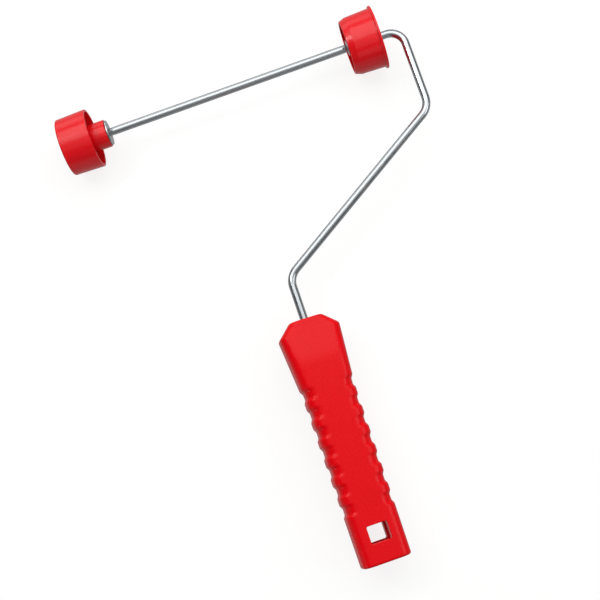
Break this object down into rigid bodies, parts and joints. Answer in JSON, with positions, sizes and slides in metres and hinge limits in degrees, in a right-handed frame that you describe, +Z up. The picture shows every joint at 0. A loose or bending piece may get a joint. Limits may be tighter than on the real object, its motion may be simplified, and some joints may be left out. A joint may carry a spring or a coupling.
{
  "type": "paint roller frame",
  "caption": "Bent steel wire paint roller frame with turning end caps for a sleeve and a ribbed red handle with hang hole and pole socket.",
  "frame": {"origin": "centre of the footprint at the lowest point, with the tool lying flat on its back and the wire's plane level", "axes": "+X along the roller axle towards the bend, +Y from the handle towards the roller axle, +Z up, square to the wire's plane"},
  "size_m": [0.2698, 0.3886, 0.048],
  "materials": {
    "zinc_plated_wire": "bright zinc plate, gloss",
    "zinc_plated_washer": "bright zinc plate, satin",
    "spring_steel": "phosphated, satin",
    "red_polypropylene_handle": "satin",
    "red_polypropylene_cap": "gloss",
    "natural_nylon": "satin"
  },
  "bodies": {
    "frame": {"frame_wire": "zinc_plated_wire", "handle": "red_polypropylene_handle", "near_inner_washer": "zinc_plated_washer", "near_outer_washer": "zinc_plated_washer", "far_inner_washer": "zinc_plated_washer", "far_outer_washer": "zinc_plated_washer", "axle_push_nut": "spring_steel"},
    "near_cap": {"near_cap": "red_polypropylene_cap", "near_bush": "natural_nylon"},
    "far_cap": {"far_cap": "red_polypropylene_cap", "far_bush": "natural_nylon", "far_cap_plug": "red_polypropylene_cap"}
  },
  "joints": [
    {"name": "near_cap_spin", "type": "hinge", "parent": "frame", "child": "near_cap", "pos_m": [0.10237, 0.17025, 0.024], "axis": [1, 0, 0], "continuous": true},
    {"name": "far_cap_spin", "type": "hinge", "parent": "frame", "child": "far_cap", "pos_m": [-0.12312, 0.17025, 0.024], "axis": [1, 0, 0], "continuous": true}
  ]
}
